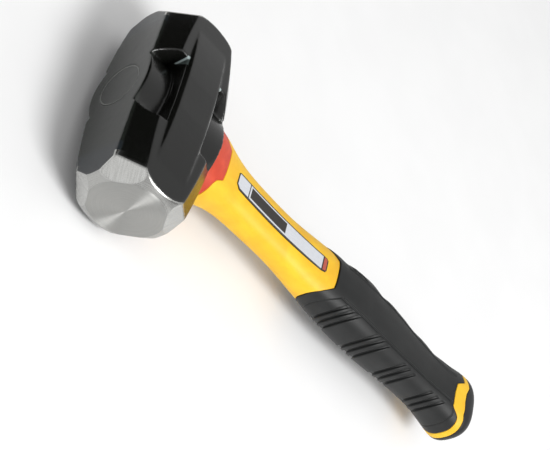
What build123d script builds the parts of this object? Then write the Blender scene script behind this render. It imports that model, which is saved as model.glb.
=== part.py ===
from build123d import *
import os
import math

# Short-handled club hammer, 3 lb (1.36 kg) class.
# The pieces are modelled with the head centre at the zero point,
# X along the two striking faces, Y out of the cheeks and Z up through the eye.
# PLACE then lays the hammer on its cheek: handle along +X, near striking face
# towards -Y, upper cheek towards +Z.

# All lengths below are in model millimetres; overall_scale brings the head
# to 3 lb (1.36 kg) of steel and is applied once, when the pieces are placed.
overall_scale = 0.940

# ---------------------------------------------------------------- head
head_half_length = 55.5      # centre to striking face
face_radius = 18.5           # flat of each striking face
face_rim = 0.6               # broken edge around the striking face
bevel_cheek = (49.87, 25.27) # ground bevel: station, radius at the cheek corner
bevel_top = (46.90, 26.53)   # ground bevel: station, radius at the crown corner
crown_height, crown_radius = 26.3, 427.0       # top and bottom faces
cheek_height, cheek_radius = 24.2, 568.0       # octagon cheeks
chamfer_height, chamfer_radius = 29.45, 247.0  # octagon corners
chamfer_tilt = 46.5          # degrees from the Z axis
pad_height, pad_radius = 26.0, 262.0           # raised cheek pads, fading into the cheek near each end
pad_half_length = 44.5
pad_half_width = 11.45
pad_edge_bevel = 1.8
pad_flat_half = 9.8          # flat land in the middle of each pad
pocket_floor = 11.4          # relief beside the eye boss
pocket_half_floor = 20.4
pocket_half_top = 15.7
boss_corner = (16.4, 13.5)   # eye boss outline
boss_mid = (19.0, 18.4)
boss_bottom = -26.9
boss_top_round = 1.2
eye_radius = 11.6
facet_rim_radius = 18.1      # where the ground corner facets reach the face

# ---------------------------------------------------------------- handle
core_half = (8.5, 7.0)       # fibreglass rod, half axes
core_top, core_bottom = 22.5, -250.0
plug_bottom, plug_top = 24.0, 26.0
neck_half = (14.6, 11.2)     # jacket neck inside the guard
neck_top = -28.2
tail_half = (12.5, 9.6)      # jacket tail inside the grip
tail_bottom = -256.0
section_power = 2.6          # superellipse exponent of the handle section
# stations along the handle: z, +X half, -X half, Y half
jacket_stations = [
    (-26.9, 19.6, 19.9, 16.3),
    (-33.0, 19.5, 20.3, 14.6),
    (-39.0, 18.4, 20.0, 12.7),
    (-46.0, 16.2, 17.9, 11.3),
    (-53.0, 14.6, 15.9, 10.6),
    (-62.0, 13.9, 14.6, 10.1),
    (-76.0, 13.8, 14.0, 9.65),
    (-92.0, 13.8, 13.8, 9.65),
    (-104.0, 14.7, 14.7, 10.05),
    (-113.0, 15.7, 15.7, 10.6),
    (-122.0, 16.3, 16.3, 11.5),
    (-133.0, 16.6, 16.6, 12.8),
]
grip_stations = [
    (-119.0, 15.7, 15.9, 11.9),
    (-125.0, 16.2, 16.7, 12.5),
    (-130.0, 16.7, 17.0, 13.0),
    (-135.5, 17.1, 16.7, 13.5),
    (-141.0, 17.5, 18.2, 13.9),
    (-150.0, 18.0, 19.3, 14.4),
    (-159.0, 18.2, 19.2, 14.6),
    (-166.0, 18.2, 17.5, 14.6),
    (-172.0, 18.1, 18.4, 14.5),
    (-180.0, 17.8, 18.2, 14.2),
    (-188.0, 17.3, 17.5, 13.8),
    (-196.0, 16.8, 16.3, 13.4),
    (-203.0, 16.4, 16.7, 13.0),
    (-210.0, 16.1, 16.4, 12.8),
    (-217.0, 16.0, 15.3, 12.7),
    (-224.0, 16.3, 16.2, 12.9),
    (-232.0, 17.0, 17.1, 13.4),
    (-240.0, 18.2, 18.4, 14.2),
    (-246.0, 19.4, 19.0, 14.7),
    (-250.3, 19.8, 18.7, 14.6),
    (-254.0, 18.2, 17.0, 13.4),
    (-257.2, 14.9, 13.9, 11.1),
    (-259.3, 10.2, 9.6, 7.8),
    (-260.3, 5.2, 4.9, 4.0),
]
# seam lines drawn on the XZ plane, from -X to +X
guard_seam = [(-24, -34.0), (-15.2, -34.1), (-12.7, -35.0), (-9.7, -38.7), (9.7, -38.7), (12.7, -35.0), (15.2, -34.1), (24, -34.0)]
grip_seam = [(-24, -117.2), (-16.2, -118.4), (-13.7, -122.3), (-10.5, -126.2), (-8.6, -128.3), (8.6, -128.3), (10.5, -126.2), (13.7, -122.3), (16.2, -118.4), (24, -117.2)]
band_seam = [(-24, -246.2), (-18, -244.8), (-13, -242.6), (-8.3, -243.0), (-4.2, -236.9), (2.0, -236.0), (5.8, -236.3), (10.2, -237.3), (11.9, -240.6), (13.4, -243.1), (15.2, -244.2), (18.8, -245.4), (24, -247.2)]
cap_seam = [(-24, -250.5), (-18, -248.2), (-13, -246.6), (-7.2, -247.2), (-2.2, -245.0), (3.3, -244.8), (7.7, -245.9), (10.6, -246.2), (12.8, -247.6), (15.5, -248.4), (19.9, -249.4), (24, -251.0)]
# grip grooves: three to a group, on both striking-side faces
groove_stations = [-134.5, -138.8, -143.4, -160.8, -165.4, -170.4, -187.2, -191.8, -197.0, -214.0, -219.2, -224.2]
groove_width = 1.7
groove_depth = 1.5
groove_tilt = 45.0
# label
label_mid, label_end = 9.95, 11.55   # height of the badge face: at its middle, and 40 mm either way
label_thickness = 1.2
label_centre = -84.0
label_outline = [(-3.2, -48.1), (3.3, -48.0), (5.4, -50.6), (5.65, -84.0), (5.35, -116.4), (4.7, -119.4), (3.2, -120.2), (-2.6, -120.2), (-3.7, -118.9), (-4.0, -116.2), (-3.95, -49.2)]

rest_height = (pad_height - pad_flat_half ** 2 / (2 * pad_radius)) * overall_scale
PLACE = Plane(origin=(0, 0, rest_height), x_dir=(0, -1, 0), z_dir=(-1, 0, 0)).location
OUT = "parts"
os.makedirs(OUT, exist_ok=True)


def only_solid(shape):
    solids = shape.solids()
    return max(solids, key=lambda s: s.volume)


def save(shape, name):
    solid = only_solid(shape)
    solid = only_solid(solid & Box(600, 600, 600))
    part = scale(solid, overall_scale).moved(PLACE)
    part.label = name
    box = part.bounding_box()
    print(name, [round(v, 2) for v in (*box.min, *box.max)], "volume", round(part.volume / 1000, 2), "cm3")
    export_step(part, f"{OUT}/{name}.step")


# ---------------------------------------------------------------- helpers
def crowned_slab(height, radius, reach=62.0, breadth=80.0):
    """Slab whose two faces are arcs along X, thickness along Z."""
    drop = height - reach ** 2 / (2 * radius)
    outline = [
        ThreePointArc((-reach, drop), (0, height), (reach, drop)),
        Line((reach, drop), (reach, -drop)),
        ThreePointArc((reach, -drop), (0, -height), (-reach, -drop)),
        Line((-reach, -drop), (-reach, drop)),
    ]
    sketch = Plane.XZ * make_face(Curve() + outline)
    return extrude(sketch, amount=breadth / 2, both=True)


def superellipse_points(half_plus, half_minus, half_y, power, count=16):
    pts = []
    for k in range(count):
        t = 2 * math.pi * (k + 0.5) / count
        c, s = math.cos(t), math.sin(t)
        a = half_plus if c > 0 else half_minus
        pts.append((a * math.copysign(abs(c) ** (2 / power), c), half_y * math.copysign(abs(s) ** (2 / power), s)))
    return pts


def section(z, half_plus, half_minus, half_y, power=section_power):
    pts = superellipse_points(half_plus, half_minus, half_y, power)
    edge = Spline(*[(x, y, z) for x, y in pts], periodic=True)
    return Face(Wire(edge))


def form(stations):
    return Solid.make_loft([section(*row).outer_wire() for row in stations], False)


def prism(points, depth=60.0):
    """Prism along Y from an outline drawn on the XZ plane (x, z)."""
    wire = Polyline(*[(x, 0, z) for x, z in points], close=True)
    return extrude(Face(Wire(wire.edges())), amount=depth / 2, dir=(0, 1, 0), both=True)


def above(seam, top=40.0):
    return prism(seam + [(24, top), (-24, top)])


def below(seam, bottom=-300.0):
    return prism(seam + [(24, bottom), (-24, bottom)])


# ---------------------------------------------------------------- head
top_slab = crowned_slab(crown_height, crown_radius)
cheek_slab = Rot(90, 0, 0) * crowned_slab(cheek_height, cheek_radius)
corner_a = Rot(-chamfer_tilt, 0, 0) * crowned_slab(chamfer_height, chamfer_radius)
corner_b = Rot(chamfer_tilt, 0, 0) * crowned_slab(chamfer_height, chamfer_radius)
block = top_slab & cheek_slab & corner_a & corner_b

L, rf, rr = head_half_length, face_radius, face_rim
bevel = ThreePointArc((L - rr * 0.75, rf + rr * 0.62), bevel_cheek, bevel_top)
half = [
    Line((0, 0), (L, 0)),
    Line((L, 0), (L, rf - rr * 0.5)),
    ThreePointArc((L, rf - rr * 0.5), (L - rr * 0.22, rf + rr * 0.18), (L - rr * 0.75, rf + rr * 0.62)),
    bevel,
    Line(bevel_top, (43.5, 29.5)),
    Line((43.5, 29.5), (0, 36)),
    Line((0, 36), (0, 0)),
]
end_form = revolve(make_face(Curve() + half), Axis.X)
end_form = end_form + mirror(end_form, about=Plane.YZ)
block = block & end_form

# each ground corner is a flat facet from the octagon corner down to the face
p_top = Vector(bevel_top[0], 11.95, 23.69)
p_cheek = Vector(bevel_cheek[0], 22.0, 12.5)
facet_angle = math.radians(46.4)
p_rim = Vector(L - 0.2, facet_rim_radius * math.cos(facet_angle), facet_rim_radius * math.sin(facet_angle))
facet_normal = (p_cheek - p_top).cross(p_rim - p_top)
if facet_normal.X < 0:
    facet_normal = -facet_normal
facet = extrude(Plane(origin=p_top, x_dir=p_cheek - p_top, z_dir=facet_normal) * Rectangle(60, 60), amount=20)
for one in (facet, mirror(facet, about=Plane.XY)):
    for two in (one, mirror(one, about=Plane.XZ)):
        block = block - two - mirror(two, about=Plane.YZ)

bx, by = boss_corner
boss_outline = make_face(Curve() + [
    ThreePointArc((-bx, by), (0, boss_mid[1]), (bx, by)),
    ThreePointArc((bx, by), (boss_mid[0], 0), (bx, -by)),
    ThreePointArc((bx, -by), (0, -boss_mid[1]), (-bx, -by)),
    ThreePointArc((-bx, -by), (-boss_mid[0], 0), (-bx, by)),
])
boss_raw = extrude(boss_outline, amount=64, both=True)
boss = boss_raw & Pos(0, 0, (crown_height + boss_bottom) / 2 ) * Box(80, 80, crown_height - boss_bottom)
boss = boss & (Pos(0, 0, 0) * (top_slab + Pos(0, 0, -20) * Box(80, 80, 30)))
boss = boss & Pos(0, 0, 50 + boss_bottom) * Box(80, 80, 100)
boss = only_solid(boss)
boss = fillet([e for e in boss.edges() if e.center().Z > 24.5], boss_top_round)

slope = (24.0 - pocket_half_top) / (26.0 - 14.8)
def pocket_section(z, x_inner, x_outer, y_inner=6.0, y_outer=34.0):
    return Wire(Polyline((-x_inner, y_inner, z), (x_inner, y_inner, z), (x_outer, y_outer, z), (-x_outer, y_outer, z), close=True).edges())
pocket = Solid.make_loft([
    pocket_section(pocket_floor, pocket_half_floor, pocket_half_floor),
    pocket_section(26.0, pocket_half_top - slope * 8.8, pocket_half_top + slope * 19.2),
    pocket_section(30.0, pocket_half_top - slope * 8.8 - 1.3, pocket_half_top + slope * 19.2 + 1.0),
], True)
pockets = Part() + pocket + mirror(pocket, about=Plane.XY) + mirror(pocket, about=Plane.XZ) + mirror(mirror(pocket, about=Plane.XY), about=Plane.XZ)

pl, flat = pad_half_length, pad_flat_half
py = lambda x: pad_height - x * x / (2 * pad_radius)
pad_plan = make_face(Curve() + [
    Line((-pl, 16), (-pl, py(pl))),
    ThreePointArc((-pl, py(pl)), (-(pl + flat) / 2, py((pl + flat) / 2)), (-flat, py(flat))),
    Line((-flat, py(flat)), (flat, py(flat))),
    ThreePointArc((flat, py(flat)), ((pl + flat) / 2, py((pl + flat) / 2)), (pl, py(pl))),
    Line((pl, py(pl)), (pl, 16)),
    Line((pl, 16), (-pl, 16)),
])
pad = extrude(pad_plan, amount=pad_half_width, both=True)
pad = chamfer([e for e in pad.edges() if e.center().Y > py(pl) - 0.01 and abs(e.center().Z) > 1], pad_edge_bevel)
pad = pad & end_form
pads = Part() + pad + mirror(pad, about=Plane.XZ)

head = (block - pockets) + boss + pads
head = only_solid(head)
eye = Cylinder(eye_radius, 80)
head = head - eye
head = only_solid(head)

# ---------------------------------------------------------------- handle pieces
jacket_form = form(jacket_stations)
grip_form = form(grip_stations)
core = extrude(Plane.XY.offset(core_bottom) * Ellipse(*core_half), amount=core_top - core_bottom)
eye_resin = Pos(0, 0, (plug_bottom + boss_bottom) / 2) * Cylinder(eye_radius, plug_bottom - boss_bottom) - core
eye_plug = Pos(0, 0, (plug_bottom + plug_top) / 2) * Cylinder(eye_radius, plug_top - plug_bottom)
eye_plug = chamfer(eye_plug.edges().group_by(Axis.Z)[-1], 0.35)

neck = Pos(0, 0, boss_bottom - 12) * extrude(Ellipse(*neck_half), amount=neck_top - boss_bottom + 12)
neck_room = Pos(0, 0, boss_bottom - 12) * extrude(Ellipse(*neck_half), amount=20)
guard = (jacket_form & above(guard_seam)) - neck_room
tail = Pos(0, 0, tail_bottom) * extrude(Ellipse(*tail_half), amount=-110 - tail_bottom)

jacket_body = jacket_form & below(guard_seam, -200) & above(grip_seam, 0)
jacket = only_solid(jacket_body + neck + tail)
label_bar = prism(label_outline, 60)


def dished_slab(thickness):
    """Slab whose floor follows the badge, dished along the handle."""
    ym, ye, t = label_mid - label_thickness, label_end - label_thickness, thickness
    up, down = label_centre + 40, label_centre - 40
    edge = [
        ThreePointArc((ye, up), (ym, label_centre), (ye, down)),
        Line((ye, down), (ye + t, down)),
        ThreePointArc((ye + t, down), (ym + t, label_centre), (ye + t, up)),
        Line((ye + t, up), (ye, up)),
    ]
    return extrude(Plane.YZ * make_face(Curve() + edge), amount=20, both=True)


label_near = label_bar & dished_slab(label_thickness)
label_far = mirror(label_near, about=Plane.XZ)
label_room = label_bar & dished_slab(10.0)
jacket = jacket - core - label_room - mirror(label_room, about=Plane.XZ)

cap_zone = below(cap_seam)
band_zone = below(band_seam) - cap_zone
grip_zone = below(grip_seam) - below(band_seam)
grip = grip_form & grip_zone
grip = only_solid(grip) - tail
band = only_solid(grip_form & band_zone) - tail
cap = only_solid(grip_form & cap_zone) - tail

# grooves: thin tilted slots that run out towards the corners of the section
def halves_at(z):
    rows = sorted(grip_stations, key=lambda r: -r[0])
    for (z0, p0, m0, y0), (z1, p1, m1, y1) in zip(rows, rows[1:]):
        if z1 <= z <= z0:
            t = (z0 - z) / (z0 - z1)
            return p0 + t * (p1 - p0), m0 + t * (m1 - m0), y0 + t * (y1 - y0)


slots = []
for z in groove_stations:
    plus, minus, half_y = halves_at(z - 2)
    pts = superellipse_points(plus - groove_depth, minus - groove_depth, half_y + 0.35, section_power, 12)
    floor_form = extrude(Face(Wire(Spline(*[(x, y, z + 20) for x, y in pts], periodic=True))), amount=40, dir=(0, 0, -1))
    for side in (1, -1):
        slot = Pos(side * 17.6, 0, z) * Rot(0, -side * groove_tilt, 0) * Box(24, 34, groove_width)
        slots += (slot - floor_form).solids()
slots = [s for s in slots if abs(s.center().X) > 14 and s.volume > 1]
grip = grip - slots

pieces = {
    "head": head,
    "eye_plug": eye_plug,
    "eye_resin": eye_resin,
    "handle_core": core,
    "handle_jacket": jacket,
    "strike_guard": guard,
    "label_near": label_near,
    "label_far": label_far,
    "grip_sleeve": grip,
    "grip_end_band": band,
    "butt_cap": cap,
}
for name, shape in pieces.items():
    save(shape, name)
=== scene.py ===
import bpy
import math
import numpy as np
from mathutils import Matrix, Vector


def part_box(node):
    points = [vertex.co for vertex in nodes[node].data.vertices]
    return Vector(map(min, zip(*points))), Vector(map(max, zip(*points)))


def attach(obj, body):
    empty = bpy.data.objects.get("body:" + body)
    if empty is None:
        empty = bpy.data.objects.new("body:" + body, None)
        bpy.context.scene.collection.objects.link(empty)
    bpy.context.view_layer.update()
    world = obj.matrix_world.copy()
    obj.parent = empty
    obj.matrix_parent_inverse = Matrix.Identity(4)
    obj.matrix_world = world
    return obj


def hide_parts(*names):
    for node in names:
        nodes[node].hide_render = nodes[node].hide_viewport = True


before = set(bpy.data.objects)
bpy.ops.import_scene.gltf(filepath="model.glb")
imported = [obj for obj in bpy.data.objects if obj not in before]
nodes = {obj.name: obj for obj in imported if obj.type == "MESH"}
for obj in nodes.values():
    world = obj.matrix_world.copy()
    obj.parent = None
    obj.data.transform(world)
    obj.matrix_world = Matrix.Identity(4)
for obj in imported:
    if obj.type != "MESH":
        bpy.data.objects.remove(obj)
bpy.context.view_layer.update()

# The pieces are laid out in the hammer's own axes: X through the striking faces,
# Y out of the cheeks, Z up through the eye. S and REST take them to the shared frame.
S = 0.940e-3
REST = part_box("head")[1].z / 2


def to_row(p):
    p = np.asarray(p, float)
    return np.stack([-p[:, 2] * S, -p[:, 0] * S, p[:, 1] * S + REST], 1)


# ------------------------------------------------------------------ node helpers
class Look:
    """One Principled material and short calls to wire its nodes."""

    def __init__(self, name):
        self.m = bpy.data.materials.new(name)
        self.m.use_nodes = True
        self.t = self.m.node_tree
        self.t.nodes.clear()
        out = self.t.nodes.new("ShaderNodeOutputMaterial")
        self.b = self.t.nodes.new("ShaderNodeBsdfPrincipled")
        self.t.links.new(self.b.outputs["BSDF"], out.inputs["Surface"])
        self.pos = None

    def put(self, socket, value):
        if isinstance(value, bpy.types.NodeSocket):
            self.t.links.new(value, socket)
        else:
            socket.default_value = value

    def set(self, **kw):
        for k, v in kw.items():
            self.put(self.b.inputs[k.replace("_", " ")], v)
        return self

    def math(self, op, a, b=None, c=None, clamp=False):
        n = self.t.nodes.new("ShaderNodeMath")
        n.operation = op
        n.use_clamp = clamp
        for i, v in enumerate((a, b, c)):
            if v is not None:
                self.put(n.inputs[i], v)
        return n.outputs[0]

    def vec(self, op, a, b=None):
        n = self.t.nodes.new("ShaderNodeVectorMath")
        n.operation = op
        for i, v in enumerate((a, b)):
            if v is not None:
                self.put(n.inputs[i], v)
        return n.outputs["Value"] if op in ("DOT_PRODUCT", "LENGTH") else n.outputs[0]

    def hammer(self):
        """Position in the hammer's own axes, in model millimetres."""
        if self.pos is None:
            tc = self.t.nodes.new("ShaderNodeTexCoord")
            s = self.t.nodes.new("ShaderNodeSeparateXYZ")
            self.t.links.new(tc.outputs["Object"], s.inputs[0])
            x = self.math("DIVIDE", s.outputs[1], -S)
            y = self.math("DIVIDE", self.math("SUBTRACT", s.outputs[2], REST), S)
            z = self.math("DIVIDE", s.outputs[0], -S)
            c = self.t.nodes.new("ShaderNodeCombineXYZ")
            for i, v in enumerate((x, y, z)):
                self.t.links.new(v, c.inputs[i])
            self.pos = (x, y, z, c.outputs[0])
        return self.pos

    def noise(self, scale, detail=3.0, rough=0.5, vector=None, distortion=0.0):
        n = self.t.nodes.new("ShaderNodeTexNoise")
        n.inputs["Scale"].default_value = scale
        n.inputs["Detail"].default_value = detail
        n.inputs["Roughness"].default_value = rough
        n.inputs["Distortion"].default_value = distortion
        self.t.links.new(vector or self.hammer()[3], n.inputs["Vector"])
        return n.outputs["Fac"]

    def voronoi(self, scale, feature="F1", vector=None):
        n = self.t.nodes.new("ShaderNodeTexVoronoi")
        n.feature = feature
        n.inputs["Scale"].default_value = scale
        self.t.links.new(vector or self.hammer()[3], n.inputs["Vector"])
        return n.outputs["Distance"]

    def span(self, v, a, b, lo=0.0, hi=1.0, smooth=True):
        n = self.t.nodes.new("ShaderNodeMapRange")
        n.interpolation_type = "SMOOTHSTEP" if smooth else "LINEAR"
        n.clamp = True
        self.put(n.inputs["Value"], v)
        for k, x in zip(("From Min", "From Max", "To Min", "To Max"), (a, b, lo, hi)):
            n.inputs[k].default_value = x
        return n.outputs[0]

    def mix(self, f, a, b):
        n = self.t.nodes.new("ShaderNodeMix")
        n.data_type = "RGBA"
        self.put(n.inputs["Factor"], f)
        for sock, v in ((n.inputs[6], a), (n.inputs[7], b)):
            self.put(sock, (*v, 1) if isinstance(v, tuple) and len(v) == 3 else v)
        return n.outputs[2]

    def lerp(self, f, a, b):
        n = self.t.nodes.new("ShaderNodeMix")
        n.data_type = "FLOAT"
        self.put(n.inputs["Factor"], f)
        self.put(n.inputs[2], a)
        self.put(n.inputs[3], b)
        return n.outputs[0]

    def bump(self, height, strength, distance):
        n = self.t.nodes.new("ShaderNodeBump")
        n.inputs["Strength"].default_value = strength
        n.inputs["Distance"].default_value = distance
        self.t.links.new(height, n.inputs["Height"])
        self.t.links.new(n.outputs[0], self.b.inputs["Normal"])
        return self

    def scaled(self, sx, sy, sz):
        x, y, z, _ = self.hammer()
        c = self.t.nodes.new("ShaderNodeCombineXYZ")
        for i, (v, k) in enumerate(((x, sx), (y, sy), (z, sz))):
            self.t.links.new(self.math("MULTIPLY", v, k), c.inputs[i])
        return c.outputs[0]


# ------------------------------------------------------------------ materials
def circle_through(p, q, r):
    (ax, ay), (bx, by), (cx, cy) = p, q, r
    d = 2 * (ax * (by - cy) + bx * (cy - ay) + cx * (ay - by))
    ux = ((ax**2 + ay**2) * (by - cy) + (bx**2 + by**2) * (cy - ay) + (cx**2 + cy**2) * (ay - by)) / d
    uy = ((ax**2 + ay**2) * (cx - bx) + (bx**2 + by**2) * (ax - cx) + (cx**2 + cy**2) * (bx - ax)) / d
    return ux, uy, math.hypot(ax - ux, ay - uy)


BEVEL = circle_through((55.05, 18.872), (49.87, 25.27), (46.90, 26.53))
P_TOP, P_CHEEK = np.array((46.90, 11.95, 23.69)), np.array((49.87, 22.0, 12.5))
A46 = math.radians(46.4)
P_RIM = np.array((55.3, 18.1 * math.cos(A46), 18.1 * math.sin(A46)))
FACET_N = np.cross(P_CHEEK - P_TOP, P_RIM - P_TOP)
FACET_N = FACET_N / np.linalg.norm(FACET_N) * (1 if FACET_N[0] > 0 else -1)
FACET_D = float(FACET_N @ P_TOP)


def head_look():
    k = Look("forged_head")
    x, y, z, p = k.hammer()
    ax, ay, az = (k.math("ABSOLUTE", v) for v in (x, y, z))
    r = k.math("SQRT", k.math("ADD", k.math("MULTIPLY", y, y), k.math("MULTIPLY", z, z)))
    # distance to the ground bevel, to the four flat corner facets and to the striking face
    dx = k.math("SUBTRACT", ax, BEVEL[0])
    dr = k.math("SUBTRACT", r, BEVEL[1])
    g1 = k.math("SUBTRACT", k.math("SQRT", k.math("ADD", k.math("MULTIPLY", dx, dx), k.math("MULTIPLY", dr, dr))), BEVEL[2])
    g1 = k.lerp(k.math("LESS_THAN", ax, 44.0), g1, -9.0)
    c = k.t.nodes.new("ShaderNodeCombineXYZ")
    for i, v in enumerate((ax, ay, az)):
        k.t.links.new(v, c.inputs[i])
    g2 = k.math("SUBTRACT", k.vec("DOT_PRODUCT", c.outputs[0], tuple(FACET_N)), FACET_D)
    g3 = k.math("SUBTRACT", ax, 55.4)
    g = k.math("MAXIMUM", k.math("MAXIMUM", g1, g2), g3)
    ragged = k.math("MULTIPLY", k.math("SUBTRACT", k.noise(1.3, 4.0, 0.6), 0.5), 0.22)
    g = k.math("ADD", g, ragged)
    bare = k.span(g, -0.46, -0.30)
    # ground steel: fine turning lines around the axis, bright
    turn = k.t.nodes.new("ShaderNodeCombineXYZ")
    k.put(turn.inputs[0], k.math("MULTIPLY", ax, 5.0))
    k.put(turn.inputs[1], k.math("MULTIPLY", r, 5.0))
    k.put(turn.inputs[2], k.math("MULTIPLY", k.math("ARCTAN2", y, z), 1.2))
    lines = k.noise(1.0, 5.0, 0.65, turn.outputs[0])
    cloud = k.noise(0.09, 3.0, 0.55)
    steel = k.mix(k.span(lines, 0.3, 0.7), (0.385, 0.385, 0.372), (0.45, 0.45, 0.435))
    steel = k.mix(k.math("MULTIPLY", k.span(cloud, 0.45, 0.75), 0.30), steel, (0.36, 0.36, 0.35))
    # the four corner facets are finished across with a finer belt
    lay = k.t.nodes.new("ShaderNodeCombineXYZ")
    k.put(lay.inputs[0], k.math("MULTIPLY", k.math("SUBTRACT", ay, az), 1.3))
    k.put(lay.inputs[1], k.math("MULTIPLY", ax, 0.12))
    strokes = k.noise(1.0, 4.0, 0.7, lay.outputs[0])
    across = k.noise(1.0, 3.0, 0.6, turn.outputs[0])
    facet = k.math("MULTIPLY", k.math("GREATER_THAN", g2, g1), k.math("GREATER_THAN", g2, g3))
    belt = k.mix(k.span(strokes, 0.35, 0.65), (0.46, 0.46, 0.445), (0.60, 0.60, 0.585))
    steel = k.mix(k.math("MULTIPLY", facet, k.span(across, 0.2, 0.8, 0.65, 1.0)), steel, belt)
    # paint: near-black olive with dusty speckle; painted reflection makes it lighter on the top faces and bluish-grey
    # beside the ground ends
    speck = k.noise(2.6, 4.0, 0.7)
    paint = k.mix(k.span(speck, 0.35, 0.75), (0.0030, 0.0032, 0.0027), (0.0062, 0.0066, 0.0054))
    paint = k.mix(k.math("MULTIPLY", k.span(cloud, 0.40, 0.70), 0.5), paint, (0.0040, 0.0041, 0.0040))
    # painted reflection: the top faces are lightened where they mirror the pale floor
    crown = k.span(k.math("SUBTRACT", az, ay), 8.0, 10.0)
    paint = k.mix(k.math("MULTIPLY", crown, 0.6), paint, (0.0215, 0.0250, 0.0210))
    # painted reflection: a bluish-grey patch on the top faces just inside the ground ends
    near_end = k.math("MULTIPLY", k.span(k.math("ADD", ax, k.math("MULTIPLY", k.math("SUBTRACT", cloud, 0.5), 3.0)), 38.6, 39.6), crown)
    paint = k.mix(k.math("MULTIPLY", near_end, 0.8), paint, (0.019, 0.024, 0.029))
    # painted highlight: a pale line along the edges of the octagon where the paint meets the ground steel
    edge_in = k.math("ABSOLUTE", k.math("SUBTRACT", g, -0.30))
    edge_highlight = k.math("MULTIPLY", k.span(edge_in, 0.9, 0.1), 0.18)
    paint = k.mix(edge_highlight, paint, (0.10, 0.10, 0.098))
    # painted glint: a pale patch in the corner where each scoop runs into its end wall, on the -x end only
    line_x = k.math("ADD", k.math("MULTIPLY", k.math("SUBTRACT", ay, 14.0), -0.476), 20.4)
    corner = k.span(k.math("SUBTRACT", ax, line_x), 0.0, 0.7)
    corner = k.math("MULTIPLY", corner, k.math("MULTIPLY", k.span(az, 12.5, 11.9), k.math("GREATER_THAN", ay, 14.0)))
    corner = k.math("MULTIPLY", corner, k.math("MULTIPLY", k.span(ax, 21.6, 21.0), k.span(az, 10.7, 11.1)))
    corner = k.math("MULTIPLY", corner, k.math("MULTIPLY", k.span(ay, 24.9, 24.5), k.math("LESS_THAN", x, 0.0)))
    paint = k.mix(k.math("MULTIPLY", corner, k.span(speck, 0.2, 0.7, 0.45, 0.9)), paint, (0.085, 0.108, 0.104))
    # painted highlight: the brightest line along the foot of that end wall
    glint_line = k.math("MULTIPLY", corner, k.span(ax, 19.3, 19.9))
    paint = k.mix(k.math("MULTIPLY", glint_line, 0.85), paint, (0.42, 0.50, 0.50))
    # painted highlight: a thin pale line where the potting meets the eye
    eye_r = k.math("SQRT", k.math("ADD", k.math("MULTIPLY", x, x), k.math("MULTIPLY", y, y)))
    rim_highlight = k.span(k.math("ABSOLUTE", k.math("SUBTRACT", eye_r, 11.55)), 0.34, 0.14)
    rim_highlight = k.math("MULTIPLY", rim_highlight, k.math("GREATER_THAN", z, 24.0))
    paint = k.mix(k.math("MULTIPLY", rim_highlight, k.span(speck, 0.25, 0.6, 0.55, 1.0)), paint, (0.115, 0.122, 0.112))
    tangent = k.t.nodes.new("ShaderNodeTangent")
    tangent.direction_type = "RADIAL"
    tangent.axis = "Y"
    k.t.links.new(tangent.outputs[0], k.b.inputs["Tangent"])
    k.b.inputs["Anisotropic Rotation"].default_value = 0.25
    flat = k.span(ax, 55.05, 55.35)
    k.set(
        Base_Color=k.mix(bare, paint, steel),
        Metallic=bare,
        Anisotropic=k.math("MULTIPLY", bare, k.lerp(flat, 0.75, 0.95)),
        Roughness=k.lerp(
            bare,
            k.span(k.noise(0.5, 4.0, 0.6), 0.3, 0.7, 0.20, 0.27),
            k.math("ADD", k.span(lines, 0.25, 0.75, 0.22, 0.30), k.math("MULTIPLY", flat, 0.18)),
        ),
    )
    k.b.inputs["IOR"].default_value = 1.5
    forging = k.math("MULTIPLY", k.noise(0.16, 2.0, 0.5), 0.5)
    peel = k.math("MULTIPLY", k.noise(1.4, 3.0, 0.55), 0.09)
    rough_skin = k.math("ADD", forging, peel)
    height = k.lerp(bare, rough_skin, k.math("MULTIPLY", lines, 0.02))
    k.bump(height, 0.35, 0.0004)
    return k.m


def moulded(name, low, high, rough=(0.34, 0.44), grain=7.0, grain_depth=0.00004, strength=0.25, mottle=0.10):
    k = Look(name)
    broad = k.noise(mottle, 3.0, 0.55, distortion=0.6)
    fine = k.noise(grain, 2.0, 0.6)
    k.set(
        Base_Color=k.mix(k.span(broad, 0.32, 0.68), low, high),
        Roughness=k.span(fine, 0.3, 0.7, rough[0], rough[1]),
    )
    k.bump(k.math("ADD", fine, k.math("MULTIPLY", broad, 2.0)), strength, grain_depth)
    return k


def yellow_look():
    k = moulded("yellow_nylon", (0.86, 0.47, 0.010), (0.93, 0.56, 0.014), rough=(0.46, 0.56), mottle=0.07)
    k.b.inputs["Subsurface Weight"].default_value = 0.06
    k.b.inputs["Subsurface Radius"].default_value = (1.0, 0.5, 0.1)
    k.b.inputs["Subsurface Scale"].default_value = 0.0012
    return k.m


def orange_look():
    return moulded("orange_elastomer", (0.55, 0.042, 0.014), (0.66, 0.065, 0.021), rough=(0.45, 0.56), mottle=0.12).m


def rubber_look(name, low, high):
    k = Look(name)
    pebble = k.voronoi(2.6, "SMOOTH_F1")
    fine = k.noise(9.0, 3.0, 0.6)
    broad = k.noise(0.12, 3.0, 0.5)
    dust = k.math("MULTIPLY", k.span(k.noise(3.1, 4.0, 0.7), 0.56, 0.78), 0.25)
    col = k.mix(k.span(broad, 0.35, 0.68), low, high)
    col = k.mix(dust, col, (0.024, 0.025, 0.025))
    k.b.inputs["Specular IOR Level"].default_value = 0.40
    k.set(Base_Color=col, Roughness=k.span(fine, 0.3, 0.7, 0.42, 0.56))
    k.bump(k.math("ADD", k.math("MULTIPLY", pebble, 0.8), k.math("MULTIPLY", fine, 0.5)), 0.30, 0.00007)
    return k.m


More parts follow.
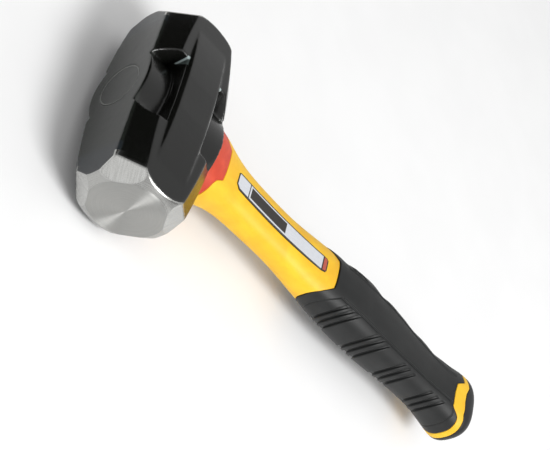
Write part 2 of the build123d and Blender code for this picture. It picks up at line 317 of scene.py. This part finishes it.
def ink(name, low, high, rough=0.35, metallic=0.0, streak=0.0):
    k = Look(name)
    brushed = k.noise(1.0, 3.0, 0.6, k.scaled(6.0, 6.0, 0.5))
    dots = k.noise(5.0, 2.0, 0.5)
    k.set(Base_Color=k.mix(k.span(brushed, 0.3, 0.7), low, high), Roughness=k.span(dots, 0.3, 0.7, rough - 0.04, rough + 0.06))
    k.b.inputs["Metallic"].default_value = metallic
    k.bump(brushed, 0.10, 0.00002)
    return k.m


def hidden(name, low, high, rough):
    k = Look(name)
    k.set(Base_Color=k.mix(k.span(k.noise(1.0, 4.0, 0.6, k.scaled(4.0, 4.0, 0.2)), 0.3, 0.7), low, high), Roughness=k.span(k.noise(3.0), 0.3, 0.7, rough - 0.05, rough + 0.08))
    return k.m


HEAD = head_look()
YELLOW = yellow_look()
ORANGE = orange_look()
RUBBER = rubber_look("black_rubber", (0.0062, 0.0068, 0.0068), (0.0095, 0.0102, 0.0100))
CAP = rubber_look("butt_rubber", (0.0070, 0.0076, 0.0080), (0.0100, 0.0106, 0.0112))
SILVER = ink("badge_silver", (0.58, 0.60, 0.64), (0.68, 0.70, 0.74), 0.42)
DARK = ink("badge_dark", (0.014, 0.011, 0.009), (0.024, 0.020, 0.016), 0.42)
BLACK = ink("badge_black", (0.006, 0.006, 0.006), (0.012, 0.012, 0.012), 0.35)
RED = ink("badge_red", (0.42, 0.070, 0.040), (0.52, 0.095, 0.055), 0.40)
PLUG = HEAD
CAD_LOOK = {
    "head": HEAD, "eye_plug": HEAD, "eye_resin": hidden("resin", (0.5, 0.38, 0.18), (0.6, 0.48, 0.26), 0.4),
    "handle_core": hidden("fibreglass", (0.62, 0.60, 0.48), (0.78, 0.76, 0.64), 0.5), "handle_jacket": YELLOW,
    "strike_guard": ORANGE, "label_near": SILVER, "label_far": SILVER, "grip_sleeve": RUBBER,
    "grip_end_band": YELLOW, "butt_cap": CAP,
}
for name, obj in nodes.items():
    obj.data.materials.clear()
    obj.data.materials.append(CAD_LOOK[name])


# ------------------------------------------------------------------ mesh helpers
def add_mesh(name, verts, faces, mats, face_mats=None, smooth=True):
    me = bpy.data.meshes.new(name)
    me.from_pydata([tuple(v) for v in verts], [], [tuple(f) for f in faces])
    me.update()
    o = bpy.data.objects.new(name, me)
    bpy.context.scene.collection.objects.link(o)
    for m in mats:
        me.materials.append(m)
    if face_mats is not None:
        me.polygons.foreach_set("material_index", face_mats)
    me.polygons.foreach_set("use_smooth", [smooth] * len(me.polygons))
    me.update()
    return o


def outward(o):
    """Turn every face outwards."""
    import bmesh
    bm = bmesh.new()
    bm.from_mesh(o.data)
    bmesh.ops.recalc_face_normals(bm, faces=bm.faces)
    bm.to_mesh(o.data)
    bm.free()
    return o


def spline(xs, ys):
    """Natural cubic spline."""
    xs, ys = np.asarray(xs, float), np.asarray(ys, float)
    if xs[0] > xs[-1]:
        xs, ys = xs[::-1], ys[::-1]
    n, h = len(xs), np.diff(xs)
    A, b = np.eye(n), np.zeros(n)
    for i in range(1, n - 1):
        A[i, i - 1], A[i, i], A[i, i + 1] = h[i - 1], 2 * (h[i - 1] + h[i]), h[i]
        b[i] = 6 * ((ys[i + 1] - ys[i]) / h[i] - (ys[i] - ys[i - 1]) / h[i - 1])
    M = np.linalg.solve(A, b)

    def f(x):
        x = np.clip(x, xs[0], xs[-1])
        i = np.clip(np.searchsorted(xs, x) - 1, 0, n - 2)
        t, u = x - xs[i], xs[i + 1] - x
        return (M[i] * u**3 + M[i + 1] * t**3) / (6 * h[i]) + (ys[i] / h[i] - M[i] * h[i] / 6) * u + (ys[i + 1] / h[i] - M[i + 1] * h[i] / 6) * t

    return f


def smooth01(v, a, b):
    t = np.clip((v - a) / (b - a), 0, 1)
    return t * t * (3 - 2 * t)


POWER = 2.6
JACKET = [
    (-26.9, 19.6, 19.9, 16.3), (-33.0, 19.5, 20.3, 14.6), (-39.0, 18.4, 20.0, 12.7), (-46.0, 16.2, 17.9, 11.3),
    (-53.0, 14.6, 15.9, 10.6), (-62.0, 13.9, 14.6, 10.1), (-76.0, 13.8, 14.0, 9.65), (-92.0, 13.8, 13.8, 9.65),
    (-104.0, 14.7, 14.7, 10.05), (-113.0, 15.7, 15.7, 10.6), (-122.0, 16.3, 16.3, 11.5), (-133.0, 16.6, 16.6, 12.8),
]
GRIP = [
    (-112.0, 15.3, 15.4, 11.2), (-119.0, 15.7, 15.9, 11.9), (-125.0, 16.2, 16.7, 12.5), (-130.0, 16.7, 17.0, 13.0),
    (-135.5, 17.1, 16.7, 13.5), (-141.0, 17.5, 18.2, 13.9), (-150.0, 18.0, 19.3, 14.4), (-159.0, 18.2, 19.2, 14.6),
    (-166.0, 18.2, 17.5, 14.6), (-172.0, 18.1, 18.4, 14.5), (-180.0, 17.8, 18.2, 14.2), (-188.0, 17.3, 17.5, 13.8),
    (-196.0, 16.8, 16.3, 13.4), (-203.0, 16.4, 16.7, 13.0), (-210.0, 16.1, 16.4, 12.8), (-217.0, 16.0, 15.3, 12.7),
    (-224.0, 16.3, 16.2, 12.9), (-232.0, 17.0, 17.1, 13.4), (-240.0, 18.2, 18.4, 14.2), (-246.0, 19.4, 19.0, 14.7),
    (-250.3, 19.8, 18.7, 14.6), (-254.0, 18.2, 17.0, 13.4), (-257.2, 14.9, 13.9, 11.1), (-259.3, 10.2, 9.6, 7.8),
    (-260.3, 5.2, 4.9, 4.0),
]
RIDGE = spline([-112, -136, -143, -152, -167, -185, -205, -224, -231, -236, -241, -262], [9.7, 9.7, 10.0, 9.9, 10.2, 9.6, 8.5, 7.8, 7.7, 8.3, 9.6, 9.6])


class Form:
    def __init__(self, rows):
        z = [r[0] for r in rows]
        self.p, self.m, self.y = (spline(z, [r[i] for r in rows]) for i in (1, 2, 3))


# columns of one quadrant, from the striking side (x = a) to the cheek side (x = 0):
# kind 0 = share of the striking panel, 1 = mm from the ridge line, 2 = share of the cheek
QUAD = [(0, f) for f in np.linspace(0, 1, 25)[:-1]] + [(1, d) for d in (1.3, 0.95, 0.65, 0.42, 0.2, 0.0, -0.2, -0.45, -0.9)] + [(2, f) for f in np.linspace(0, 1, 14)[1:]]
COLS = (
    [(k, v, 1, 1) for k, v in QUAD]
    + [(k, v, -1, 1) for k, v in QUAD[::-1][1:]]
    + [(k, v, -1, -1) for k, v in QUAD[1:]]
    + [(k, v, 1, -1) for k, v in QUAD[::-1][1:-1]]
)
KIND, VAL, SX, SY = (np.array([c[i] for c in COLS], float) for i in range(4))


def section(form, z):
    a = np.where(SX > 0, form.p(z), form.m(z))
    b = form.y(z)
    xr = np.minimum(RIDGE(z), a * 0.62)
    at = lambda x: np.arccos(np.clip(x / a, 0, 1) ** (POWER / 2))
    t0, t1 = at(xr + 1.3), at(xr - 0.9)
    t = np.where(KIND == 0, VAL * t0, np.where(KIND == 1, at(xr + VAL), t1 + (math.pi / 2 - t1) * VAL))
    x = SX * a * np.cos(t) ** (2 / POWER)
    y = SY * b * np.clip(np.sin(t), 0, 1) ** (2 / POWER)
    nx = SX * (np.abs(x) / a) ** (POWER - 1) / a
    ny = SY * (np.abs(y) / b) ** (POWER - 1) / b
    d = np.hypot(nx, ny)
    return x, y, nx / d, ny / d


def ring(form, zfun, out=0.0):
    """One closed row of points whose z follows zfun(x); out moves it along the section normal (mm)."""
    z = np.full(len(COLS), -130.0) if np.isscalar(zfun) is False else np.full(len(COLS), float(zfun))
    if not np.isscalar(zfun):
        z = zfun(np.zeros(len(COLS)))
        for _ in range(14):
            x, y, nx, ny = section(form, z)
            z = 0.5 * z + 0.5 * zfun(x)
    x, y, nx, ny = section(form, z)
    o = out(x, y, z) if callable(out) else out
    return np.stack([x + nx * o, y + ny * o, z], 1)


def loop_mesh(name, rings, mats, ends=None):
    """Rings joined in order. ends=None joins the last to the first; otherwise two centre points close them."""
    n = len(COLS)
    verts = np.concatenate(rings)
    faces = []
    pairs = list(zip(range(len(rings) - 1), range(1, len(rings))))
    if ends is None:
        pairs.append((len(rings) - 1, 0))
    for i, j in pairs:
        for c in range(n):
            d = (c + 1) % n
            faces.append((i * n + c, i * n + d, j * n + d, j * n + c))
    if ends is not None:
        verts = np.concatenate([verts, np.array(ends, float)])
        a, b = len(verts) - 2, len(verts) - 1
        last = (len(rings) - 1) * n
        for c in range(n):
            d = (c + 1) % n
            faces.append((a, d, c))
            faces.append((b, last + c, last + d))
    return outward(add_mesh(name, to_row(verts), faces, mats))


def polyline(points):
    pts = sorted(points)
    px, pz = [p[0] for p in pts], [p[1] for p in pts]
    return lambda x: np.interp(x, px, pz)


GUARD_SEAM = polyline([(-24, -34.0), (-15.2, -34.1), (-12.7, -35.0), (-9.7, -38.7), (9.7, -38.7), (12.7, -35.0), (15.2, -34.1), (24, -34.0)])
GRIP_SEAM = polyline([(-24, -117.2), (-16.2, -118.4), (-13.7, -122.3), (-10.5, -126.2), (-8.6, -128.3), (8.6, -128.3), (10.5, -126.2), (13.7, -122.3), (16.2, -118.4), (24, -117.2)])
BAND_SEAM = polyline([(-24, -246.2), (-18, -244.8), (-13, -242.6), (-8.3, -243.0), (-4.2, -236.9), (2.0, -236.0), (5.8, -236.3), (10.2, -237.3), (11.9, -240.6), (13.4, -243.1), (15.2, -244.2), (18.8, -245.4), (24, -247.2)])
CAP_SEAM = polyline([(-24, -250.5), (-18, -248.2), (-13, -246.6), (-7.2, -247.2), (-2.2, -245.0), (3.3, -244.8), (7.7, -245.9), (10.6, -246.2), (12.8, -247.6), (15.5, -248.4), (19.9, -249.4), (24, -251.0)])


def between(a, b, f):
    return lambda x: a(x) + (b(x) - a(x)) * f


def shifted(a, d):
    return lambda x: a(x) + d


def rim_rows(seam, sign, wall=2.4, gap=0.05):
    """Rows that roll a piece's edge in at a seam: (z function, outward offset). sign +1 above the piece."""
    return [(shifted(seam, -sign * (gap + 0.02)), -wall), (shifted(seam, -sign * gap), -0.55), (shifted(seam, -sign * (gap + 0.03)), -0.30), (shifted(seam, -sign * (gap + 0.12)), -0.12), (shifted(seam, -sign * (gap + 0.30)), -0.03), (shifted(seam, -sign * (gap + 0.60)), 0.0)]


# ------------------------------------------------------------------ handle pieces
jf, gf = Form(JACKET), Form(GRIP)


def inner_rows(top, bottom, steps, wall=2.4):
    """The unseen inner wall, from the bottom seam back up to the top seam."""
    return [(between(shifted(bottom, 0.6), shifted(top, -0.6), f), -wall) for f in np.linspace(0, 1, steps)]


def band_piece(name, form, top, bottom, steps, mats, replaces, out=None):
    rows = rim_rows(top, 1)
    rows += [(between(shifted(top, -0.8), shifted(bottom, 0.8), f), 0.0) for f in np.linspace(0, 1, steps)]
    rows += rim_rows(bottom, -1)[::-1]
    rows += inner_rows(top, bottom, max(2, steps // 3))
    rings = [ring(form, z, o if (o or out is None) else out) for z, o in rows]
    o = loop_mesh(name, rings, mats)
    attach(o, "root")
    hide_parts(replaces)
    return o


jacket = band_piece("jacket_shell", jf, GUARD_SEAM, GRIP_SEAM, 120, [YELLOW], "handle_jacket")

guard_rows = [(-27.1, -3.4), (-27.0, -0.6), (-27.05, -0.2), (-27.3, -0.04), (-27.8, 0.0)]
guard_rings = [ring(jf, z, o) for z, o in guard_rows]
flat_top = lambda x: np.full_like(np.asarray(x, float), -28.2)
guard_rings += [ring(jf, between(flat_top, shifted(GUARD_SEAM, 0.8), f), 0.0) for f in np.linspace(0, 1, 26)]
guard_rings += [ring(jf, z, o) for z, o in rim_rows(GUARD_SEAM, -1, wall=2.4)[::-1]]
guard_rings += [ring(jf, z, o) for z, o in inner_rows(flat_top, GUARD_SEAM, 6)]
guard = loop_mesh("guard_collar", guard_rings, [ORANGE])
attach(guard, "root")
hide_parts("strike_guard")

# grip: chevron grooves on both striking sides inside a panel with a raised outline
GROOVES = [-134.5, -138.8, -143.4, -160.8, -165.4, -170.4, -187.2, -191.8, -197.0, -214.0, -219.2, -224.2]


def shear(x):
    ax = np.abs(x)
    return 17.6 - np.clip(ax, 9.7, 20)


def top_line(x):
    ax = np.abs(x)
    return np.interp(ax, [9.7, 10.3, 13.5, 15.9, 16.6, 20], [-135.7, -134.7, -130.5, -126.7, -125.0, -124.6])


def bottom_line(x):
    ax = np.abs(x)
    t = np.interp(ax, [0, 8.6, 9.7, 10.6, 14.0, 17.8, 20], [-235.2, -235.3, -236.5, -238.0, -239.6, -239.1, -238.6])
    return np.maximum(t, BAND_SEAM(x) + 1.0)


def zone(z0):
    return lambda x: z0 - shear(x)


ZS, ZE = -131.4, -226.6
PROFILE = [(1.9, 0), (1.45, 0), (1.22, 0.08), (1.08, 0.55), (0.92, 0.95), (0.7, 1), (0, 1.0), (-0.7, 1), (-0.92, 0.95), (-1.08, 0.55), (-1.22, 0.08), (-1.45, 0), (-1.9, 0)]
rows = [(z, o, 0, 0, 0) for z, o in rim_rows(GRIP_SEAM, 1)]  # (z function, offset, groove, ridge, line)
above_line, below_line = shifted(top_line, 0.75), shifted(top_line, -0.75)
rows += [(between(shifted(GRIP_SEAM, -0.9), above_line, f), 0, 0, 0, 0) for f in np.linspace(0, 1, 12)]
rows += [(shifted(top_line, d), 0, 0, r, w) for d, r, w in ((0.45, 0, 0.1), (0.22, 0, 0.7), (0.0, 0.15, 1.0), (-0.22, 0.6, 0.7), (-0.45, 1, 0.1))]
rows += [(between(below_line, zone(ZS), f), 0, 0, 1, 0) for f in np.linspace(0, 1, 6)]
z_now = ZS
for g in GROOVES:
    gap = z_now - (g + 1.9)
    k = max(1, int(round(gap / 1.1)))
    for i in range(1, k):
        rows.append((zone(z_now - gap * i / k), 0, 0, 1, 0))
    for d, v in PROFILE:
        if g + d < z_now - 0.02:
            rows.append((zone(g + d), 0, v, 1, 0))
    z_now = g - 1.9
rows += [(between(zone(z_now - 0.3), shifted(bottom_line, 0.75), f), 0, 0, 1, 0) for f in np.linspace(0, 1, 14)]
rows += [(shifted(bottom_line, d), 0, 0, r, w) for d, r, w in ((0.45, 1, 0.1), (0.22, 0.6, 0.7), (0.0, 0.15, 1.0), (-0.22, 0, 0.7), (-0.45, 0, 0.1))]
rows += [(between(shifted(bottom_line, -0.5), shifted(BAND_SEAM, 0.35), f), 0, 0, 0, 0) for f in np.linspace(0.1, 0.9, 8)]
rows += [(z, o, 0, 0, 0) for z, o in rim_rows(BAND_SEAM, -1)[::-1]]
rows += [(z, o, 0, 0, 0) for z, o in inner_rows(GRIP_SEAM, BAND_SEAM, 30)]

RIDGE_SHAPE = np.where(KIND == 1, np.interp(VAL, [-0.9, -0.45, -0.2, 0.0, 0.2, 0.42, 0.65, 0.95, 1.3], [0, -0.16, 0.22, 0.42, 0.05, -0.38, -0.38, -0.16, -0.04]), 0.0)
PANEL = ((KIND == 0) | ((KIND == 1) & (VAL > -0.1))).astype(float)
rings = []
for zf, off, gv, rv, lv in rows:
    def out(x, y, z, off=off, gv=gv, rv=rv, lv=lv):
        ax = np.abs(x)
        deep = 0.75 * smooth01(ax, 11.3, 11.7) + 0.80 * smooth01(ax, 12.2, 16.5)
        return off - gv * deep * PANEL + rv * RIDGE_SHAPE - 0.34 * lv * PANEL
    rings.append(ring(gf, zf, out))
grip = loop_mesh("grip_moulding", rings, [RUBBER])
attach(grip, "root")
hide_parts("grip_sleeve")

band = band_piece("butt_band", gf, BAND_SEAM, CAP_SEAM, 14, [YELLOW], "grip_end_band")

TIP = -260.25
cap_rings = [ring(gf, z, o) for z, o in rim_rows(CAP_SEAM, 1)]
tip_fn = lambda x: np.full_like(np.asarray(x, float), TIP)
cap_rings += [ring(gf, between(shifted(CAP_SEAM, -0.8), tip_fn, f), 0.0) for f in np.sin(np.linspace(0, math.pi / 2, 40))]
cap = loop_mesh("butt_cap_dome", cap_rings, [CAP], ends=[(0, 0, -249.0), (0, 0, TIP)])
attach(cap, "root")
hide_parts("butt_cap")

# ------------------------------------------------------------------ badge
OUTLINE = [(-3.2, -48.1), (3.3, -48.0), (5.4, -50.6), (5.65, -84.0), (5.35, -116.4), (4.7, -119.4), (3.2, -120.2), (-2.6, -120.2), (-3.7, -118.9), (-4.0, -116.2), (-3.95, -49.2)]
LO = polyline([(z, x) for x, z in [(-3.2, -48.1), (-3.95, -49.2), (-4.0, -116.2), (-3.7, -118.9), (-2.6, -120.2)]])
HI = polyline([(z, x) for x, z in [(3.3, -48.0), (5.4, -50.6), (5.65, -84.0), (5.35, -116.4), (4.7, -119.4), (3.2, -120.2)]])


def dish(z):
    return np.maximum(9.95 + 1.6 * ((z + 84.0) / 40.0) ** 2, jf.y(z) + 0.16)


def badge_strip(z0, z1, lo, hi, top, bottom, e, side):
    """A thin solid strip that follows the dished handle: rows across, softened top edges."""
    zs = np.unique(np.concatenate([np.linspace(z0, z1, max(4, int(abs(z1 - z0) / 1.6))), [z for _, z in OUTLINE if min(z0, z1) + 0.3 < z < max(z0, z1) - 0.3]]))[::-1]
    rows = []
    ends = [(zs[0], bottom, 0.0)] + [(zs[0], top - e, 0.0)]
    for i, z in enumerate([zs[0] - e] + list(zs[1:-1]) + [zs[-1] + e]):
        a, b = float(lo(z)), float(hi(z))
        xs = [a, a, a + e] + list(np.linspace(a + e, b - e, 6)[1:-1]) + [b - e, b, b]
        hs = [bottom, top - e, top] + [top] * 4 + [top, top - e, bottom]
        rows.append([(x, side * (float(dish(z)) + h), z) for x, h in zip(xs, hs)])
    first = [(x, y if j in (0, len(rows[0]) - 1) else side * (float(dish(zs[0])) + top - e), zs[0]) for j, (x, y, z) in enumerate(rows[0])]
    last = [(x, y if j in (0, len(rows[0]) - 1) else side * (float(dish(zs[-1])) + top - e), zs[-1]) for j, (x, y, z) in enumerate(rows[-1])]
    rows = [first] + rows + [last]
    n = len(rows[0])
    verts = [p for r in rows for p in r]
    faces = [(i * n + c, i * n + c + 1, (i + 1) * n + c + 1, (i + 1) * n + c) for i in range(len(rows) - 1) for c in range(n - 1)]
    faces += [(i * n + n - 1, i * n, (i + 1) * n, (i + 1) * n + n - 1) for i in range(len(rows) - 1)]
    faces += [tuple(range(n - 1, -1, -1)), tuple((len(rows) - 1) * n + c for c in range(n))]
    return verts, faces


for side, node in ((1, "label_near"), (-1, "label_far")):
    parts = [(badge_strip(-48.05, -120.15, LO, HI, 0.0, -0.9, 0.12, side), 0)]
    inner_lo = lambda z: LO(z) + 0.72
    inner_hi = lambda z: HI(z) - 0.78
    parts.append((badge_strip(-48.7, -57.3, inner_lo, inner_hi, 0.05, -0.3, 0.05, side), 1))
    parts.append((badge_strip(-57.9, -116.3, inner_lo, inner_hi, 0.05, -0.3, 0.05, side), 1))
    parts.append((badge_strip(-58.9, -87.4, lambda z: LO(z) + 1.5, lambda z: HI(z) - 1.75, 0.09, -0.2, 0.04, side), 2))
    parts.append((badge_strip(-117.1, -119.35, lambda z: LO(z) + 0.65, lambda z: HI(z) - 0.78, 0.05, -0.3, 0.05, side), 3))
    V, F, M = [], [], []
    for (v, f), m in parts:
        base = len(V)
        V += v
        F += [tuple(base + i for i in q) for q in f]
        M += [m] * len(f)
    o = outward(add_mesh("badge_near" if side > 0 else "badge_far", to_row(V), F, [BLACK, SILVER, DARK, RED], M, smooth=False))
    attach(o, "root")
    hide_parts(node)

# ------------------------------------------------------------------ head
src = nodes["head"].data
me = bpy.data.meshes.new("head_forging")
me.from_pydata([v.co[:] for v in src.vertices], [], [tuple(p.vertices) for p in src.polygons])
me.update()
head = bpy.data.objects.new("head_forging", me)
bpy.context.scene.collection.objects.link(head)
weld = head.modifiers.new("weld", "WELD")
weld.merge_threshold = 2e-6
rem = head.modifiers.new("skin", "REMESH")
rem.mode = "VOXEL"
rem.voxel_size = 0.00056
sm = head.modifiers.new("soften", "SMOOTH")
sm.factor = 0.5
sm.iterations = 3
bpy.context.view_layer.update()
deps = bpy.context.evaluated_depsgraph_get()
done = bpy.data.meshes.new_from_object(head.evaluated_get(deps))
head.modifiers.clear()
head.data = done
done.materials.clear()
done.materials.append(HEAD)
done.polygons.foreach_set("use_smooth", [True] * len(done.polygons))
done.update()
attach(head, "root")
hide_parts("head")

# potted eye: a disc that sits just under the crown, with a rolled rim
seg = 96
prof = [(0.0, 26.02), (4.0, 26.02), (8.0, 26.02), (10.7, 26.01), (11.15, 26.04), (11.5, 26.11), (11.8, 26.12), (12.05, 26.04), (12.15, 25.85), (12.15, 24.1), (6.0, 24.05), (0.0, 24.05)]
verts = [(0, 0, prof[0][1])] + [(r * math.cos(2 * math.pi * i / seg), r * math.sin(2 * math.pi * i / seg), z) for r, z in prof[1:-1] for i in range(seg)] + [(0, 0, prof[-1][1])]
faces = [(0, 1 + i, 1 + (i + 1) % seg) for i in range(seg)]
for k in range(len(prof) - 3):
    for i in range(seg):
        a, b = 1 + k * seg + i, 1 + k * seg + (i + 1) % seg
        faces.append((a, a + seg, b + seg, b))
lastv = len(verts) - 1
base = 1 + (len(prof) - 3) * seg
faces += [(lastv, base + (i + 1) % seg, base + i) for i in range(seg)]
plug = outward(add_mesh("eye_potting", to_row(verts), faces, [HEAD]))
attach(plug, "root")
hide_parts("eye_plug")

# ------------------------------------------------------------------ camera
cam_data = bpy.data.cameras.new("view")
cam_data.sensor_width = 36.0
cam_data.sensor_fit = "HORIZONTAL"
cam_data.lens = 96.597
cam_data.clip_start = 0.02
cam = bpy.data.objects.new("view", cam_data)
bpy.context.scene.collection.objects.link(cam)
R = ((0.6053351, -0.5972206, -0.52621), (0.1948495, 0.7521607, -0.629514), (0.7717532, 0.2785352, 0.5716774))
C = (-0.280738, -0.429544, 0.419889)
cam.matrix_world = Matrix([[*R[i], C[i]] for i in range(3)] + [[0, 0, 0, 1]])
bpy.context.scene.camera = cam
bpy.context.scene.view_settings.view_transform = "Standard"

# ------------------------------------------------------------------ stage
world = bpy.data.worlds.new("studio")
bpy.context.scene.world = world
world.use_nodes = True
wt = world.node_tree
wt.nodes.clear()
w_out = wt.nodes.new("ShaderNodeOutputWorld")
w_bg = wt.nodes.new("ShaderNodeBackground")
wt.links.new(w_bg.outputs[0], w_out.inputs[0])
w_tc = wt.nodes.new("ShaderNodeTexCoord")


def w_math(op, a, b=None):
    n = wt.nodes.new("ShaderNodeMath")
    n.operation = op
    for i, v in enumerate((a, b)):
        if v is None:
            continue
        if isinstance(v, bpy.types.NodeSocket):
            wt.links.new(v, n.inputs[i])
        else:
            n.inputs[i].default_value = v
    return n.outputs[0]


def lobe(direction, inner, outer):
    """1 within inner degrees of the direction, 0 beyond outer degrees."""
    d = wt.nodes.new("ShaderNodeVectorMath")
    d.operation = "DOT_PRODUCT"
    wt.links.new(w_tc.outputs["Generated"], d.inputs[0])
    d.inputs[1].default_value = Vector(direction).normalized()
    n = wt.nodes.new("ShaderNodeMapRange")
    n.interpolation_type = "SMOOTHSTEP"
    wt.links.new(d.outputs["Value"], n.inputs["Value"])
    n.inputs["From Min"].default_value = math.cos(math.radians(outer))
    n.inputs["From Max"].default_value = math.cos(math.radians(inner))
    return n.outputs[0]


BASE = 0.75
level = w_math("MULTIPLY", w_math("SUBTRACT", 1.0, w_math("MULTIPLY", lobe((-0.60, 0.66, 0.45), 29, 46), 0.99)), BASE)
level = w_math("ADD", level, w_math("MULTIPLY", lobe((0.36, -0.50, 0.79), 8, 18), 1.6))
level = w_math("ADD", level, w_math("MULTIPLY", lobe((-0.66, -0.64, 0.36), 10, 22), 0.35))
level = w_math("MULTIPLY", level, w_math("SUBTRACT", 1.0, w_math("MULTIPLY", lobe((0.649, -0.437, 0.622), 12, 24), 0.7)))
w_lp = wt.nodes.new("ShaderNodeLightPath")
w_mix = wt.nodes.new("ShaderNodeMix")
w_mix.data_type = "FLOAT"
wt.links.new(w_lp.outputs["Is Camera Ray"], w_mix.inputs[0])
wt.links.new(level, w_mix.inputs[2])
w_mix.inputs[3].default_value = 0.97
wt.links.new(w_mix.outputs[0], w_bg.inputs["Strength"])
w_bg.inputs["Color"].default_value = (1, 1, 1, 1)

side = 12.0
steps = 24
fv = [(-side + 2 * side * i / steps, -side + 2 * side * j / steps, -0.0004) for j in range(steps + 1) for i in range(steps + 1)]
ff = [(j * (steps + 1) + i, j * (steps + 1) + i + 1, (j + 1) * (steps + 1) + i + 1, (j + 1) * (steps + 1) + i) for j in range(steps) for i in range(steps)]
fl = Look("floor_paper")
fl.set(Base_Color=fl.mix(fl.span(fl.noise(0.02, 2.0), 0.3, 0.7), (0.90, 0.90, 0.90), (0.92, 0.92, 0.92)), Roughness=fl.span(fl.noise(0.5), 0.3, 0.7, 0.85, 0.95))
fl.b.inputs["Specular IOR Level"].default_value = 0.1
floor = add_mesh("floor", fv, ff, [fl.m], smooth=False)


def area(name, loc, target, size, power):
    d = bpy.data.lights.new(name, "AREA")
    d.shape = "RECTANGLE"
    d.size, d.size_y = size
    d.energy = power
    o = bpy.data.objects.new(name, d)
    o.location = loc
    o.rotation_euler = (Vector(target) - Vector(loc)).to_track_quat("-Z", "Y").to_euler()
    bpy.context.scene.collection.objects.link(o)
    return o


area("key", (0.54, -0.80, 1.20), (0.05, -0.03, 0.02), (0.65, 0.5), 14.5)
